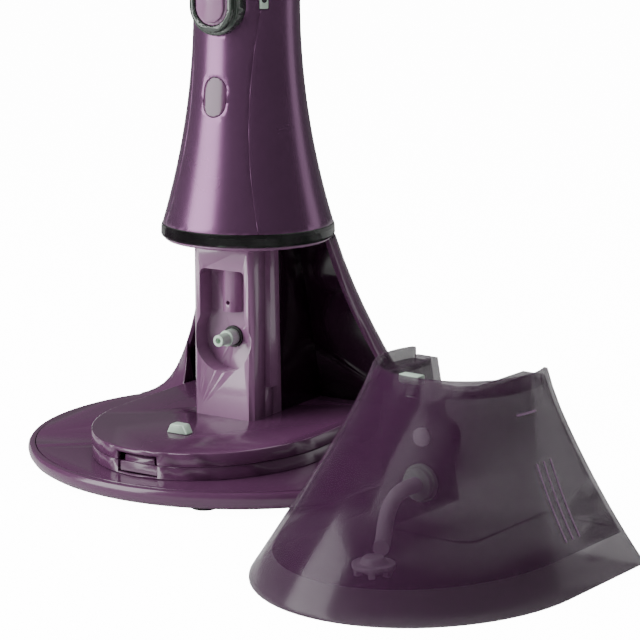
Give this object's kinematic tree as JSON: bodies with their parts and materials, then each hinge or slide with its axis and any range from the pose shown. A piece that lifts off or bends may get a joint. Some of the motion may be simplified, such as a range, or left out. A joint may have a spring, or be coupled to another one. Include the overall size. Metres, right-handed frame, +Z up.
{
  "type": "upright garment steamer",
  "caption": "Upright garment steamer: bell-shaped handle on a round base with a docking bay, and a see-through water tank standing beside it.",
  "frame": {"origin": "on the handle's upright axis, at floor level under the base", "axes": "+Z up, -Y towards the front where the steam plate, trigger and docking bay face, +X to the right seen from behind the front face, on the tank's side"},
  "size_m": [0.3017, 0.2601, 0.312],
  "materials": {
    "purple_gloss": "glossy dark purple moulding",
    "lilac_gloss": "glossy purple moulding, lighter where lit",
    "black_gloss": "glossy black moulding",
    "tank_clear": "see-through tinted purple plastic",
    "white_matte": "pale moulding",
    "lilac_matte": "soft lilac",
    "rubber_black": "matt",
    "steel": "plain",
    "aluminium": "satin",
    "black_matte": "matt",
    "board_green": "lacquered board"
  },
  "bodies": {
    "body": {"base_tray": "purple_gloss", "base_cover": "purple_gloss", "rubber_feet": "rubber_black", "base_screws": "steel", "platform_skirt": "purple_gloss", "platform_deck": "purple_gloss", "locating_nub": "white_matte", "dock_column": "lilac_gloss", "dock_wall": "purple_gloss", "rear_housing": "purple_gloss", "cord_gland": "rubber_black", "flange_plate": "lilac_gloss", "trim_band": "black_gloss", "handle_front_cover": "purple_gloss", "handle_rear_cover": "purple_gloss", "trigger_bezel": "black_gloss", "water_nozzle": "white_matte", "nozzle_seal": "rubber_black", "pump": "steel", "pump_bracket": "black_matte", "suction_tube": "white_matte", "riser_tube": "white_matte", "circuit_board": "board_green", "trigger_switch": "black_matte", "head_shell": "purple_gloss", "head_bezel": "black_gloss", "steam_plate": "aluminium", "plate_seal": "rubber_black", "boiler_block": "aluminium", "heating_element": "steel", "thermostat": "black_matte", "thermal_fuse": "white_matte", "cover_screws": "steel"},
    "trigger": {"steam_trigger": "lilac_gloss"},
    "button": {"power_button": "purple_gloss"},
    "slider": {"lock_slider": "white_matte"},
    "latch": {"tank_latch": "purple_gloss"},
    "tank": {"tank_shell": "tank_clear", "tank_back": "tank_clear", "tank_floor": "tank_clear", "tank_top": "tank_clear", "port_bush": "white_matte", "port_seal": "rubber_black", "vent_disc": "lilac_matte", "pickup_hose": "lilac_matte", "sinker_filter": "lilac_matte"},
    "stopper": {"filler_stopper": "white_matte"}
  },
  "joints": [
    {"name": "trigger_press", "type": "slide", "parent": "body", "child": "trigger", "axis": [0, 1, 0], "range_m": [0, 0.003], "stiffness_N_per_m": 800, "springref_m": -0.002},
    {"name": "button_press", "type": "slide", "parent": "body", "child": "button", "axis": [0, 1, 0], "range_m": [0, 0.0012], "stiffness_N_per_m": 1200, "springref_m": -0.001},
    {"name": "lock_slide", "type": "slide", "parent": "body", "child": "slider", "axis": [0, 0, 1], "range_m": [0, 0.005]},
    {"name": "latch_press", "type": "slide", "parent": "body", "child": "latch", "axis": [0, 1, 0], "range_m": [0, 0.0025], "stiffness_N_per_m": 600, "springref_m": -0.001},
    {"name": "tank_lift", "type": "slide", "parent": "body", "child": "tank", "axis": [0, 0, 1], "range_m": [0, 0.12]},
    {"name": "stopper_pull", "type": "slide", "parent": "tank", "child": "stopper", "axis": [0, 0, 1], "range_m": [0, 0.02]}
  ]
}
